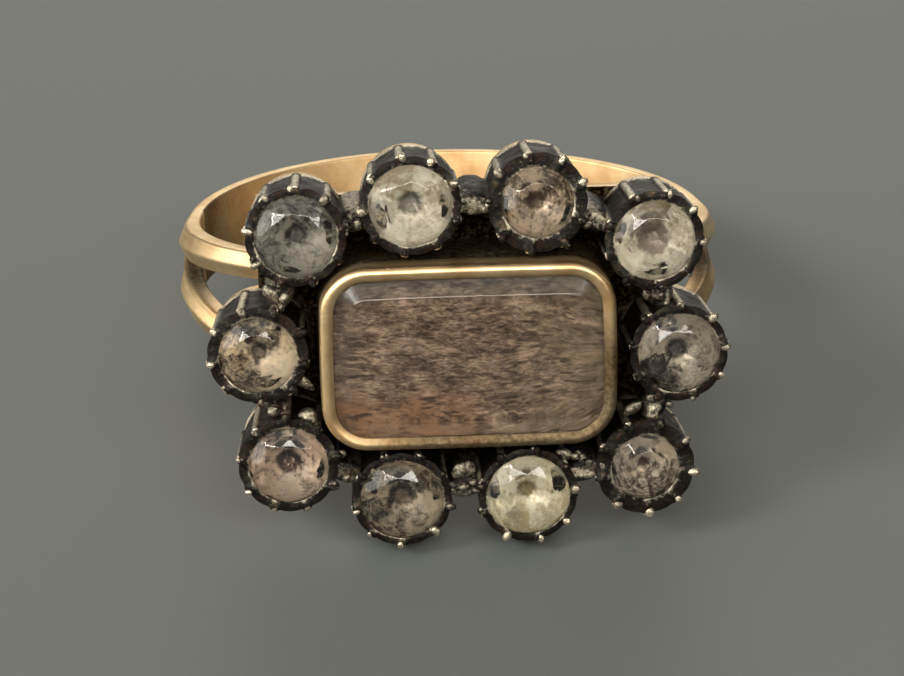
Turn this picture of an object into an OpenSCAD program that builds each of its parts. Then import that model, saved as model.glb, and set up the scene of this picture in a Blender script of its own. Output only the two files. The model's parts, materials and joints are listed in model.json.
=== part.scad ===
// Mourning ring. A gold hoop with split shoulders carries a rectangular hair locket, and ten round
// foil-backed stones in fluted silver collets frame the locket. The ring lies on its side: the feet
// of the two lowest collets and the back of the hoop touch the surface at z = 0.
//
// Three frames are used. In the hoop frame the finger's axis is Z and the head faces -Y. In the head
// frame z points out of the head, y runs along the finger and z = 0 is the front of the back plate.
// In a seat's frame z is the stone's own axis and z = 0 is the front of the collet's wall.

/* [Band] */
// Inside diameter of the hoop
inner_d = 17.3; // [16:0.1:19]
// Width of the band along the finger
band_w = 2.7; // [2.2:0.1:3.2]
// Thickness of the band in the middle of its width
band_t = 0.7; // [0.65:0.05:0.9]
// Thickness of the band at its rounded edges
band_edge_t = 0.45; // [0.35:0.05:0.5]

/* [Shoulders] */
// Angle from the middle of the back to the place where the band splits
split_at = 92; // [88:1:98]
// Angle from the middle of the back to the place where a branch leaves the bore for the back plate
branch_off_at = 148; // [144:1:152]
// Slope of each branch away from the middle of the band
branch_slope = 7; // [5:1:10]
// Width of each branch
branch_w = 1.15; // [1:0.05:1.25]
// Thickness of a branch along its ridge
branch_ridge_t = 0.8; // [0.7:0.05:1]
// Thickness of a branch along its two edges
branch_edge_t = 0.5; // [0.4:0.05:0.6]

/* [Head] */
// Gap between the finger's bore and the flat back plate
plate_gap = 0.1; // [0.05:0.05:0.3]
// Thickness of the back plate
plate_t = 0.5; // [0.4:0.05:0.8]
// How far the back plate's edge lies inside the feet of the collets
plate_inset = 0.2; // [0.1:0.05:0.3]
// Gap between pieces of the ring that are set or soldered together
seam = 0.05; // [0.03:0.01:0.08]

/* [Collets] */
// Height of the middle of a collet's wall above the back plate
collet_h = 2.55; // [2.3:0.05:2.8]
// Radius of the wall between the ribs, at the front
collet_r = 1.6; // [1.55:0.01:1.65]
// Radius of the wall between the ribs, at the foot
collet_foot_r = 1.53; // [1.45:0.01:1.55]
// Number of ribs on each collet
rib_count = 9; // [7:1:10]
// Radius of one rib
rib_r = 0.16; // [0.12:0.01:0.2]
// Radius of the grain at the tip of each rib
grain_r = 0.2; // [0.16:0.01:0.22]
// Tilt of the collets away from the middle of the head
collet_tilt = 4; // [3:1:5]
// Thickness of the web that joins two neighbouring collets
web_t = 0.5; // [0.3:0.05:0.7]
// Radius of the post in the middle of a web
post_r = 0.4; // [0.3:0.05:0.5]
// Depth of the top of the web below the fronts of the collets
web_drop = 0.5; // [0.4:0.05:0.8]
// Radius of the pellet on the post
pellet_r = 0.24; // [0.2:0.01:0.3]

/* [Stones] */
// Diameter of the largest stone
stone_d = 2.8; // [2.6:0.05:2.85]
// Height of the crown above the girdle
crown_h = 0.42; // [0.3:0.02:0.5]
// Depth of the pavilion below the girdle
pavilion_h = 0.95; // [0.8:0.05:1.1]
// Clearance between a stone and its seat
stone_gap = 0.03; // [0.02:0.01:0.05]

/* [Locket] */
// Width of the locket case across the finger
locket_w = 9.55; // [9.2:0.05:10]
// Height of the locket case along the finger
locket_h = 6.15; // [5.9:0.05:6.5]
// Radius of the case's corners
locket_corner_r = 1.45; // [1.2:0.05:1.6]
// Thickness of the case's wall
case_wall = 0.33; // [0.28:0.01:0.4]
// Height of the locket's rim above the tops of the collets
locket_rise = 0.75; // [0.6:0.05:1]
// Channel between the locket and the collets of its two long sides
row_gap = 0.2; // [0.15:0.05:0.4]
// Channel between the locket and the collets of its two short sides
side_gap = 0.4; // [0.3:0.05:0.6]

/* [Crystal and hair] */
// Thickness of the shelf that carries the hair
shelf_t = 0.35; // [0.3:0.05:0.5]
// Thickness of the hair on its card
hair_t = 0.4; // [0.3:0.05:0.5]
// Height of the crystal's upright side
crystal_side_h = 0.75; // [0.6:0.05:0.9]
// Width of the crystal's bevel
bevel_w = 0.62; // [0.5:0.02:0.7]
// Height of the crystal's bevel
bevel_h = 0.38; // [0.3:0.02:0.5]
// Width of the rim that is rubbed over the crystal's edge
rim_lip = 0.12; // [0.08:0.01:0.15]
// Depth of the rubbed-over rim
lip_h = 0.14; // [0.1:0.01:0.2]
// Clearance round the crystal and the hair
crystal_gap = 0.04; // [0.03:0.01:0.06]

/* [Hidden] */
$fn = 64;
gold = "goldenrod";
silver = "dimgray";
glass = "linen";
hair_brown = "rosybrown";

// Collet seats, clockwise from the top left. Places are shares of seat_x and seat_y, the size is a
// share of the largest stone, and the turn is that of the stone's facets in degrees.
SEATS = [
    // x share, y share, size share, turn
    [-0.797, 0.81, 0.98, 10],
    [-0.257, 0.994, 0.98, 4],
    [0.338, 0.99, 0.86, 17],
    [0.886, 0.712, 0.96, 30],
    [1.0, -0.056, 0.98, 12],
    [0.838, -0.834, 0.82, 25],
    [0.277, -1.0, 1, 8],
    [-0.325, -1.0, 1, 20],
    [-0.861, -0.736, 0.95, 2],
    [-0.99, 0.022, 0.93, 33]
];
SEAT_X = 0;
SEAT_Y = 1;
SEAT_SIZE = 2;
SEAT_TURN = 3;

bore_r = inner_d / 2;

// The middle of a branch at the split, where its edge is level with the band's
ridge_z = (band_w - branch_w) / 2;

plate_back = bore_r + plate_gap;
plate_front = plate_back + plate_t;
rib_reach = collet_r + rib_r;
foot_reach = (collet_foot_r + rib_r) / cos(collet_tilt);
seat_x = locket_w / 2 + side_gap + rib_reach;
seat_y = locket_h / 2 + row_gap + rib_reach;

// How far a collet's foot lies inside its tilted front
foot_shift = collet_h * tan(collet_tilt);

// A cup's floor, its hollow under the stone, and the depth of the girdle below the wall's front
cup_floor = 0.35;
hollow_share = 0.62;
girdle_drop = 0.12;
girdle_t = 0.08;
facet_slab = 0.02;

// The cut of a stone: levels are shares of the crown's or the pavilion's height, radii of its girdle's
TABLE_SHARE = 0.58;
KITE_SHARE = 0.84;
KITE_LEVEL = 0.55;
LOWER_SHARE = 0.5;
LOWER_LEVEL = 0.62;
CULET_SHARE = 0.12;

// The locket's levels above the plate
case_top = collet_h + locket_rise;
pocket_w = locket_w - 2 * case_wall;
pocket_h = locket_h - 2 * case_wall;
pocket_corner_r = locket_corner_r - case_wall;
crystal_top_of_side = case_top - lip_h - crystal_gap - rim_lip * bevel_h / bevel_w;
crystal_bottom = crystal_top_of_side - crystal_side_h;
hair_bottom = crystal_bottom - crystal_gap - hair_t;
shelf_top = hair_bottom - crystal_gap;

// The band's section: an outer arc between two rounded edges
edge_r = band_edge_t / 2;
edge_z = band_w / 2 - edge_r;
bulge = band_t - band_edge_t;
arc_r = (edge_z * edge_z + bulge * bulge) / (2 * bulge);

// How the ring lies. It leans until the back of the hoop and the first low point of the head, a
// collet's foot or the plate's edge, are level.
low_foot_y = max([for (s = SEATS) -foot_place(s)[1]]);
tilt = max(
    lean(plate_front + seam, low_foot_y + foot_reach),
    lean(plate_back, low_foot_y + foot_reach - plate_inset)
);
lift = (bore_r + edge_r) * sin(tilt) + edge_z * cos(tilt) + edge_r;

// The ring's middle from front to back goes to y = 0
front_y = plate_front + seam + collet_h;
front = front_y * cos(tilt) + (seat_y + rib_reach) * sin(tilt);
back = (bore_r + band_t - arc_r) * cos(tilt) + arc_r;
shift = (front - back) / 2;

function seat_name(i) = str("stone_", i < 9 ? "0" : "", i + 1);
function seat_place(s) = [s[SEAT_X] * seat_x, s[SEAT_Y] * seat_y];
function outward(s) = atan2(s[SEAT_Y], s[SEAT_X]);
function stone_r(s) = s[SEAT_SIZE] * stone_d / 2;

// The lean at which a point of the head is level with the rounded edge of the back of the hoop. The
// point is this far in front of the hoop's axis and this far below its middle.
function lean(ahead, below) =
    let (run = ahead + bore_r + edge_r, fall = below - edge_z)
    acos(edge_r / norm([fall, run])) - atan2(run, fall);

// The place of a collet's foot on the plate
function foot_place(s) =
    seat_place(s) - foot_shift * [cos(outward(s)), sin(outward(s))];

module laid_down() {
    translate([0, shift, lift]) rotate([-tilt, 0, 0]) children();
}

module at_head() {
    translate([0, -plate_front, 0]) rotate([90, 0, 0]) children();
}

// Puts a collet's or a stone's frame at its seat, tilted outward
module at_seat(s) {
    away = outward(s);
    place = seat_place(s);
    translate([place[0], place[1], seam + collet_h])
        rotate([0, 0, away]) rotate([0, collet_tilt, 0]) rotate([0, 0, -away]) children();
}

module rounded_plate(w, h, r) {
    square([w - 2 * r, h], center = true);
    square([w, h - 2 * r], center = true);
    for (x = [-1, 1], y = [-1, 1])
        translate([x * (w / 2 - r), y * (h / 2 - r)]) circle(r);
}

module both_sides() {
    children();
    mirror([1, 0, 0]) children();
}

// The band's section: an outer arc, a rounded edge at each end of it, and a bevel inside each edge.
// Its inner side lies inside the bore, to be cut off.
module band_section() {
    edge_steps = 3;
    arc_steps = 4;
    arc_half = asin(edge_z / arc_r);
    edge_step = (90 - arc_half) / edge_steps;
    arc_middle = bore_r + band_t - arc_r;
    polygon(concat(
        [[bore_r - edge_r, edge_r - edge_z]],
        [for (k = [0 : edge_steps], a = k * edge_step - 90)
            [bore_r + edge_r * (1 + cos(a)), edge_r * sin(a) - edge_z]],
        [for (k = [-arc_steps : arc_steps], a = k * arc_half / arc_steps)
            [arc_middle + arc_r * cos(a), arc_r * sin(a)]],
        [for (k = [edge_steps : -1 : 0], a = 90 - k * edge_step)
            [bore_r + edge_r * (1 + cos(a)), edge_r * sin(a) + edge_z]],
        [[bore_r - edge_r, edge_z - edge_r]]
    ));
}

module branch_section() {
    inner = bore_r - branch_edge_t;
    polygon([
        [inner, -branch_w / 2],
        [bore_r + branch_edge_t, -branch_w / 2],
        [bore_r + branch_ridge_t, 0],
        [bore_r + branch_edge_t, branch_w / 2],
        [inner, branch_w / 2]
    ]);
}

// One branch of the left shoulder. Its ring leans about the radius through the split, and it leaves
// the bore along a tangent, so that it ends in a flat wedge on the plate.
module branch(side) {
    overlap_at = 3;
    arc = 180 - split_at;
    difference() {
        rotate([0, 0, 90 + split_at])
            translate([0, 0, side * ridge_z])
                rotate([side * branch_slope, 0, 0])
                    rotate([0, 0, -overlap_at])
                        rotate_extrude(angle = arc, $fn = 128) branch_section();
        rotate([0, 0, 90 + branch_off_at])
            translate([0, 0, -bore_r]) cube([bore_r, bore_r, 2 * bore_r]);
    }
}

module back_plate() {
    edge = foot_reach - plate_inset;
    translate([0, 0, -plate_t]) linear_extrude(plate_t) {
        for (s = SEATS) translate(foot_place(s)) circle(edge);
        rounded_plate(2 * (seat_x - foot_shift), 2 * low_foot_y, edge);
    }
}

module shank() {
    color(gold) laid_down() difference() {
        union() {
            rotate([0, 0, 90 - split_at])
                rotate_extrude(angle = 2 * split_at, $fn = 128) band_section();
            both_sides() {
                branch(1);
                branch(-1);
            }
            at_head() back_plate();
        }
        cylinder(h = 8 * band_w, r = bore_r, center = true, $fn = 128);
    }
}

// What is cut out of a collet, as one turned shape: the hollow of the cup, the space round the pavilion
// and the girdle, and the space round the crown
module seat_cut(s) {
    r = stone_r(s) + stone_gap;
    kite_r = KITE_SHARE * stone_r(s) + stone_gap;
    hollow_r = hollow_share * r;
    floor_z = cup_floor - collet_h;
    girdle_bottom = -girdle_drop - girdle_t;
    girdle_top = stone_gap - girdle_drop;
    kite_z = girdle_top + KITE_LEVEL * crown_h + facet_slab;
    // The depth at which the pavilion's cone is as narrow as the hollow
    cone_depth = pavilion_h * (1 - hollow_share) / (1 - 2 * CULET_SHARE);
    rotate_extrude() polygon([
        [0, floor_z],
        [hollow_r, floor_z],
        [hollow_r, girdle_bottom - cone_depth],
        [r, girdle_bottom],
        [r, girdle_top],
        [kite_r, kite_z],
        [kite_r, kite_z + crown_h],
        [0, kite_z + crown_h]
    ]);
}

// A tapered wall with its ribs, and a grain at the tip of each rib. It runs on below its foot, to be
// cut off flat.
module collet() {
    taper = atan2(collet_r - collet_foot_r, collet_h);
    spare = 0.5;
    long = collet_h + spare;
    end_r = collet_r - long * tan(taper);
    translate([0, 0, -long]) cylinder(h = long, r1 = end_r, r2 = collet_r);
    for (k = [0 : rib_count - 1]) rotate([0, 0, 360 * k / rib_count - 90]) {
        translate([end_r, 0, -long]) rotate([0, taper, 0])
            cylinder(h = long / cos(taper), r = rib_r, $fn = 24);
        translate([rib_reach - grain_r, 0, 0]) sphere(grain_r, $fn = 24);
    }
}

// The web from one collet's foot to the next, with its post and pellet
module web(a, b) {
    from = foot_place(a);
    step = foot_place(b) - from;
    top = seam + collet_h - web_drop;
    translate(from) rotate([0, 0, atan2(step[1], step[0])]) {
        translate([0, -web_t / 2, 0]) cube([norm(step), web_t, top]);
        translate([norm(step) / 2, 0, 0]) {
            cylinder(h = top, r = post_r, $fn = 32);
            translate([0, 0, top]) sphere(pellet_r, $fn = 24);
        }
    }
}

module cluster_setting() {
    count = len(SEATS);
    color(silver) laid_down() at_head() difference() {
        union() {
            for (s = SEATS) at_seat(s) collet();
            for (i = [0 : count - 1]) web(SEATS[i], SEATS[(i + 1) % count]);
        }
        for (s = SEATS) at_seat(s) seat_cut(s);
        translate([0, 0, seam - 2]) cube([3 * seat_x, 3 * seat_y, 4], center = true);
    }
}

module locket_case() {
    color(gold) laid_down() at_head() difference() {
        translate([0, 0, seam]) linear_extrude(case_top - seam)
            rounded_plate(locket_w, locket_h, locket_corner_r);
        translate([0, 0, shelf_top]) linear_extrude(case_top - lip_h - shelf_top)
            rounded_plate(pocket_w, pocket_h, pocket_corner_r);
        translate([0, 0, -1]) linear_extrude(shelf_top - shelf_t + 1)
            rounded_plate(pocket_w, pocket_h, pocket_corner_r);
        translate([0, 0, shelf_top]) linear_extrude(case_top) rounded_plate(
            pocket_w - 2 * rim_lip, pocket_h - 2 * rim_lip, pocket_corner_r - rim_lip);
    }
}

module hair_panel() {
    color(hair_brown) laid_down() at_head() translate([0, 0, hair_bottom]) linear_extrude(hair_t)
        rounded_plate(
            pocket_w - 2 * crystal_gap, pocket_h - 2 * crystal_gap, pocket_corner_r - crystal_gap);
}

module locket_crystal() {
    w = pocket_w - 2 * crystal_gap;
    h = pocket_h - 2 * crystal_gap;
    r = pocket_corner_r - crystal_gap;
    color(glass, 0.5) laid_down() at_head() translate([0, 0, crystal_bottom]) hull() {
        linear_extrude(crystal_side_h) rounded_plate(w, h, r, $fn = 32);
        translate([0, 0, crystal_side_h + bevel_h - facet_slab]) linear_extrude(facet_slab)
            rounded_plate(w - 2 * bevel_w, h - 2 * bevel_w, r - bevel_w / 2, $fn = 32);
    }
}

// A ring of facet corners, as a thin slab
module facet_ring(r, z, sides, turn) {
    translate([0, 0, z]) rotate([0, 0, turn]) cylinder(h = facet_slab, r = r, $fn = sides);
}

module round_stone(s) {
    r = stone_r(s);
    at_seat(s) translate([0, 0, -girdle_drop - girdle_t + stone_gap])
        rotate([0, 0, s[SEAT_TURN]]) hull() {
            facet_ring(TABLE_SHARE * r, girdle_t + crown_h, 8, 0);
            facet_ring(KITE_SHARE * r, girdle_t + KITE_LEVEL * crown_h, 8, 22.5);
            cylinder(h = girdle_t, r = r, $fn = 16);
            facet_ring(LOWER_SHARE * r, -LOWER_LEVEL * pavilion_h, 8, 0);
            facet_ring(CULET_SHARE * r, -pavilion_h, 8, 22.5);
        }
}

module cluster_stone(i) {
    color(glass) laid_down() at_head() round_stone(SEATS[i]);
}

shank();
cluster_setting();
locket_case();
hair_panel();
locket_crystal();
for (i = [0 : len(SEATS) - 1])
    cluster_stone(i);
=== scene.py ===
"""Looks of the mourning ring: a worn gold hoop with split shoulders, ten foil-backed paste stones in
fluted, blackened silver collets, and a gold locket with laid hair under a bevelled crystal.

Sizes are in millimetres and angles in degrees. Shapes are worked out in one of three frames:
  hoop frame  the finger's axis is z and the head faces -y
  head frame  z points out of the head, y runs along the finger, z = 0 is the back plate's front
  seat frame  z is a stone's own axis, z = 0 is the front of its collet's wall
and are then put in the ring's own frame, in metres.
"""

import json

import bmesh
import bpy
import numpy as np
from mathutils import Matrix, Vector


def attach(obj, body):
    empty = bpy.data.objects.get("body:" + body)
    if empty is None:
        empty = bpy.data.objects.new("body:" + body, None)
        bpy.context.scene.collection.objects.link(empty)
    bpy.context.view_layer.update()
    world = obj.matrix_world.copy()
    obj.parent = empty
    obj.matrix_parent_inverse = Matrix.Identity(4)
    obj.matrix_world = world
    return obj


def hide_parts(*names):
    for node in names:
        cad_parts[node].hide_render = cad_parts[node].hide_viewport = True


MM = 0.001
TAU = 2 * np.pi

# Hoop and shoulders
BAND_W = 2.7
BAND_T = 0.7
BAND_EDGE_T = 0.5
SPLIT_AT = 92
GROOVE_AT = 80
BRANCH_OFF_AT = 148
BRANCH_END_AT = 168
BRANCH_SLOPE = 7
BRANCH_W = 1.15
BRANCH_END_W = 0.95
BRANCH_RIDGE_T = 0.8
BRANCH_EDGE_T = 0.5

# Head
PLATE_GAP = 0.1
PLATE_T = 0.5
PLATE_INSET = 0.2
SEAM = 0.05
COLLET_H = 2.55
COLLET_R = 1.6
COLLET_FOOT_R = 1.53
COLLET_TILT = 4
RIB_COUNT = 9
RIB_R = 0.16
GRAIN_R = 0.16
RIB_RISE = 0.11
PANEL_DISH = 0.06
FRONT_DIP = 0.05
FOOT_ROLL = 0.06
CUP_FLOOR = 0.35
WEB_DROP = 0.5
WEB_HALF_W = 0.32

# Stones
STONE_D = 2.8
CROWN_H = 0.42
PAVILION_H = 0.95
STONE_GAP = 0.03
GIRDLE_DROP = 0.12
GIRDLE_T = 0.08
TABLE_SHARE = 0.62
CULET_SHARE = 0.16

# Locket
LOCKET_W = 9.55
LOCKET_H = 6.15
LOCKET_CORNER_R = 1.45
CASE_WALL = 0.33
LOCKET_RISE = 0.75
ROW_GAP = 0.2
SIDE_GAP = 0.4
SHELF_T = 0.35
HAIR_T = 0.4
CRYSTAL_SIDE_H = 0.75
BEVEL_W = 0.62
BEVEL_H = 0.38
RIM_LIP = 0.12
LIP_H = 0.14
CRYSTAL_GAP = 0.04

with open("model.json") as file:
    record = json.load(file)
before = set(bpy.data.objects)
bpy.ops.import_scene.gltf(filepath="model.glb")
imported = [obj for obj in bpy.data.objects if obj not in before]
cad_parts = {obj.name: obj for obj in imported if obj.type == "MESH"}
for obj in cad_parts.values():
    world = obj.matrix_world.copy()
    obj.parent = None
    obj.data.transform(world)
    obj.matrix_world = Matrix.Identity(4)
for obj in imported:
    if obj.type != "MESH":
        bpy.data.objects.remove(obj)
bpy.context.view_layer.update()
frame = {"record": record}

finger = frame["record"]["mounts"][0]
BORE_R = finger["dims"]["r_mm"]
HOOP_PLACE = np.array(finger["pos_m"]) / MM
HOOP_Z = np.array(finger["axis"]) / np.linalg.norm(finger["axis"])
HOOP_X = np.array([1.0, 0.0, 0.0])
HOOP_Y = np.cross(HOOP_Z, HOOP_X)

PLATE_FRONT = BORE_R + PLATE_GAP + PLATE_T
SEAT_X = LOCKET_W / 2 + SIDE_GAP + COLLET_R + RIB_R
SEAT_Y = LOCKET_H / 2 + ROW_GAP + COLLET_R + RIB_R
FRONT_Z = SEAM + COLLET_H
FOOT_SHIFT = COLLET_H * np.tan(np.radians(COLLET_TILT))
FOOT_REACH = (COLLET_FOOT_R + RIB_R) / np.cos(np.radians(COLLET_TILT))
CASE_TOP = COLLET_H + LOCKET_RISE
POCKET_W = LOCKET_W - 2 * CASE_WALL
POCKET_H = LOCKET_H - 2 * CASE_WALL
POCKET_CORNER_R = LOCKET_CORNER_R - CASE_WALL
CRYSTAL_TOP = CASE_TOP - LIP_H - CRYSTAL_GAP + (1 - RIM_LIP / BEVEL_W) * BEVEL_H
CRYSTAL_BOTTOM = CRYSTAL_TOP - BEVEL_H - CRYSTAL_SIDE_H
HAIR_TOP = CRYSTAL_BOTTOM - CRYSTAL_GAP

# The seats, clockwise from the top left: place as shares of SEAT_X and SEAT_Y, the stone's size as a
# share of STONE_D, and the turn of the ribs.
SEATS = [
    (-0.797, 0.81, 0.98, 10),
    (-0.257, 0.994, 0.98, 22),
    (0.338, 0.99, 0.86, 20),
    (0.886, 0.712, 0.96, 36),
    (1.0, -0.056, 0.98, 8),
    (0.838, -0.834, 0.82, 32),
    (0.277, -1.0, 1.0, 2),
    (-0.325, -1.0, 1.0, 30),
    (-0.861, -0.736, 0.95, 11),
    (-0.99, 0.022, 0.93, 29),
]


def in_hoop(x, y, z):
    """Points of the hoop frame, in the ring's frame."""
    return HOOP_PLACE + x[..., None] * HOOP_X + y[..., None] * HOOP_Y + z[..., None] * HOOP_Z


def in_head(x, y, z):
    """Points of the head frame, in the ring's frame."""
    x, y, z = np.broadcast_arrays(x, y, z)
    return in_hoop(x, -PLATE_FRONT - z, y)


def seat_place(seat):
    return np.array([seat[0] * SEAT_X, seat[1] * SEAT_Y])


def outward(seat):
    """The direction from the middle of the head to a seat, as a unit vector."""
    return np.array([seat[0], seat[1]]) / np.hypot(seat[0], seat[1])


def foot_place(seat):
    return seat_place(seat) - FOOT_SHIFT * outward(seat)


def in_collet(seat, radius, turn, z):
    """Points of a collet, from their radius, turn and height over the wall's front. The ring at each
    height is tilted in proportion to its height, so the foot is flat on the plate and the front is
    square to the stone's axis."""
    away = outward(seat)
    share = np.clip(1 + z / COLLET_H, 0, 1)
    tilt = np.radians(COLLET_TILT) * share
    proud = np.maximum(z, 0)
    along = radius * np.cos(turn - np.arctan2(away[1], away[0]))
    aside = radius * np.sin(turn - np.arctan2(away[1], away[0]))
    centre = foot_place(seat)[:, None, None] + (seat_place(seat) - foot_place(seat))[:, None, None] * share
    reach = along * np.cos(tilt) + proud * np.sin(tilt)
    x = centre[0] + reach * away[0] - aside * away[1]
    y = centre[1] + reach * away[1] + aside * away[0]
    return in_head(x, y, SEAM + COLLET_H * share - along * np.sin(tilt) + proud * np.cos(tilt))


def smooth(x, start, end):
    """0 before start, 1 after end, and an S-shaped rise between them."""
    t = np.clip((x - start) / (end - start), 0, 1)
    return t * t * (3 - 2 * t)


def waves(x, pace, seed, count=5):
    """A sum of sines of x with seeded phases, each pace times quicker and half as high as the last.
    Its values stay between -1 and 1."""
    phases = np.random.default_rng(seed).uniform(0, TAU, count)
    total = sum(np.sin(x * pace**k + p) / 2**k for k, p in enumerate(phases))
    return total / 2


# Meshes


class Shells:
    """Collects closed surfaces on grids of points, each with values of its own, for one mesh."""

    def __init__(self):
        self.points, self.faces, self.finishes, self.values, self.count = [], [], [], {}, 0

    def add(self, grid, finish=0, **values):
        """A grid of rows by columns by 3, whose columns close on themselves. A row may shrink to a
        point, which closes the surface there. finish is the number of the material, or one number for
        each strip between two rows."""
        rows, cols = grid.shape[:2]
        index = self.count + np.arange(rows * cols).reshape(rows, cols)
        index = np.hstack([index, index[:, :1]])
        corners = [index[:-1, :-1], index[:-1, 1:], index[1:, 1:], index[1:, :-1]]
        self.faces.append(np.stack([c.ravel() for c in corners], axis=1))
        self.finishes.append(np.repeat(np.broadcast_to(finish, rows - 1), cols))
        self.points.append(grid.reshape(-1, 3))
        self.count += rows * cols
        for name, value in values.items():
            self.values.setdefault(name, []).append(np.broadcast_to(value, (rows, cols)).ravel())

    def make(self, name, materials, slot, *replaced, sharp=50):
        """The mesh as a piece of the ring. Points that coincide are merged, faces point outwards, and
        edges bent by more than sharp degrees are shaded as edges."""
        points = np.concatenate(self.points) * MM
        faces = np.concatenate(self.faces)
        mesh = bpy.data.meshes.new(name)
        mesh.vertices.add(len(points))
        mesh.vertices.foreach_set("co", points.astype(np.float32).ravel())
        mesh.loops.add(faces.size)
        mesh.loops.foreach_set("vertex_index", faces.astype(np.int32).ravel())
        mesh.polygons.add(len(faces))
        mesh.polygons.foreach_set("loop_start", np.arange(0, faces.size, 4, dtype=np.int32))
        mesh.polygons.foreach_set("material_index", np.concatenate(self.finishes).astype(np.int32))
        mesh.update(calc_edges=True)
        for key, value in self.values.items():
            layer = mesh.attributes.new(key, "FLOAT", "POINT")
            layer.data.foreach_set("value", np.concatenate(value).astype(np.float32))
        soup = bmesh.new()
        soup.from_mesh(mesh)
        bmesh.ops.remove_doubles(soup, verts=soup.verts, dist=1e-7)
        bmesh.ops.dissolve_degenerate(soup, edges=soup.edges, dist=1e-8)
        bmesh.ops.recalc_face_normals(soup, faces=soup.faces)
        soup.to_mesh(mesh)
        soup.free()
        mesh.polygons.foreach_set("use_smooth", np.ones(len(mesh.polygons), dtype=bool))
        mesh.set_sharp_from_angle(angle=np.radians(sharp))
        for material in materials:
            mesh.materials.append(material)
        piece = bpy.data.objects.new(name, mesh)
        bpy.context.scene.collection.objects.link(piece)
        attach(piece, "root")
        if replaced:
            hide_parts(*replaced)
        return piece


def linear(hex_colour):
    """An sRGB hex colour as linear red, green, blue and alpha."""
    srgb = np.array([int(hex_colour[i : i + 2], 16) / 255 for i in (1, 3, 5)])
    low = srgb / 12.92
    high = ((srgb + 0.055) / 1.055) ** 2.4
    return (*np.where(srgb <= 0.04045, low, high).tolist(), 1.0)


# Materials


def add_node(tree, kind, output, inputs=None, stops=None, **settings):
    """Adds a shader node with its settings, its inputs, each a value or a socket to link, and a ramp's
    stops. Gives the output of that name."""
    new = tree.nodes.new("ShaderNode" + kind)
    for key, value in settings.items():
        setattr(new, key, value)
    for key, value in (inputs or {}).items():
        if isinstance(value, bpy.types.NodeSocket):
            tree.links.new(value, new.inputs[key])
        else:
            new.inputs[key].default_value = value
    if stops:
        elements = new.color_ramp.elements
        while len(elements) < len(stops):
            elements.new(0.5)
        for element, (place, colour) in zip(elements, stops):
            element.position = place
            element.color = linear(colour)
    return new.outputs[output]


def new_material(name):
    """A material with a bare surface shader: its tree and the shader."""
    material = bpy.data.materials.new(name)
    material.use_nodes = True
    return material, material.node_tree, material.node_tree.nodes["Principled BSDF"]


def per_mm(size):
    """The scale of a pattern whose features are this many millimetres wide."""
    return 1 / (size * MM)


def gold_material():
    """Old alloyed gold of about 13 carats, hand-finished and worn: warm, a little rosy, satin, with
    fine scratches from wear, duller patches, a softer finish inside the hoop, and a near-black brown
    wherever grime is high, which is painted shade in gaps, crevices and on sides turned from
    the light, with some brown deposits."""
    material, tree, shader = new_material("worn_gold")
    place = add_node(tree, "TexCoord", "Object")
    grime = add_node(tree, "Attribute", "Fac", attribute_name="grime")
    satin = add_node(tree, "Attribute", "Fac", attribute_name="satin")
    cloud = add_node(
        tree, "TexNoise", "Fac", {"Vector": place, "Scale": per_mm(1.6), "Detail": 5.0, "Roughness": 0.6}
    )
    fine = add_node(
        tree, "TexNoise", "Fac", {"Vector": place, "Scale": per_mm(0.16), "Detail": 4.0, "Roughness": 0.7}
    )
    # Scratches run mostly along the hoop, so the noise is drawn out along x
    drawn = add_node(
        tree, "Mapping", "Vector", {"Vector": place, "Scale": (0.16, 1.0, 1.0), "Rotation": (0.3, 0.5, 0.2)}
    )
    scratch = add_node(
        tree, "TexNoise", "Fac", {"Vector": drawn, "Scale": per_mm(0.09), "Detail": 3.0, "Roughness": 0.6}
    )
    tone = add_node(
        tree,
        "ValToRGB",
        "Color",
        {"Fac": cloud},
        stops=[(0.3, "#d2aa78"), (0.5, "#e4c696"), (0.72, "#f0dab0")],
    )
    uneven = add_node(
        tree,
        "MapRange",
        "Result",
        {"Value": fine, "From Min": 0.3, "From Max": 0.7, "To Min": 0.85, "To Max": 1.1},
    )
    # Painted shade, with some brown deposits: where grime is high the colour goes to near-black brown and
    # the metal duller
    shade_and_dirt = add_node(tree, "Math", "Value", {0: grime, 1: uneven}, operation="MULTIPLY", use_clamp=True)
    colour = add_node(
        tree, "Mix", "Result", {"Factor": shade_and_dirt, "A": tone, "B": linear("#140b05")}, data_type="RGBA"
    )
    tree.links.new(colour, shader.inputs["Base Color"])
    rough = add_node(
        tree,
        "MapRange",
        "Result",
        {"Value": scratch, "From Min": 0.3, "From Max": 0.7, "To Min": 0.32, "To Max": 0.48},
    )
    duller = add_node(
        tree, "Math", "Value", {0: shade_and_dirt, 1: 0.3, 2: rough}, operation="MULTIPLY_ADD", use_clamp=True
    )
    softer = add_node(
        tree, "Math", "Value", {0: satin, 1: 0.3, 2: duller}, operation="MULTIPLY_ADD", use_clamp=True
    )
    tree.links.new(softer, shader.inputs["Roughness"])
    relief = add_node(tree, "Math", "Value", {0: fine, 1: 0.6, 2: scratch}, operation="MULTIPLY_ADD")
    bump = add_node(tree, "Bump", "Normal", {"Height": relief, "Strength": 0.2, "Distance": 0.01 * MM})
    tree.links.new(bump, shader.inputs["Normal"])
    shader.inputs["Metallic"].default_value = 1.0
    return material


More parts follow.
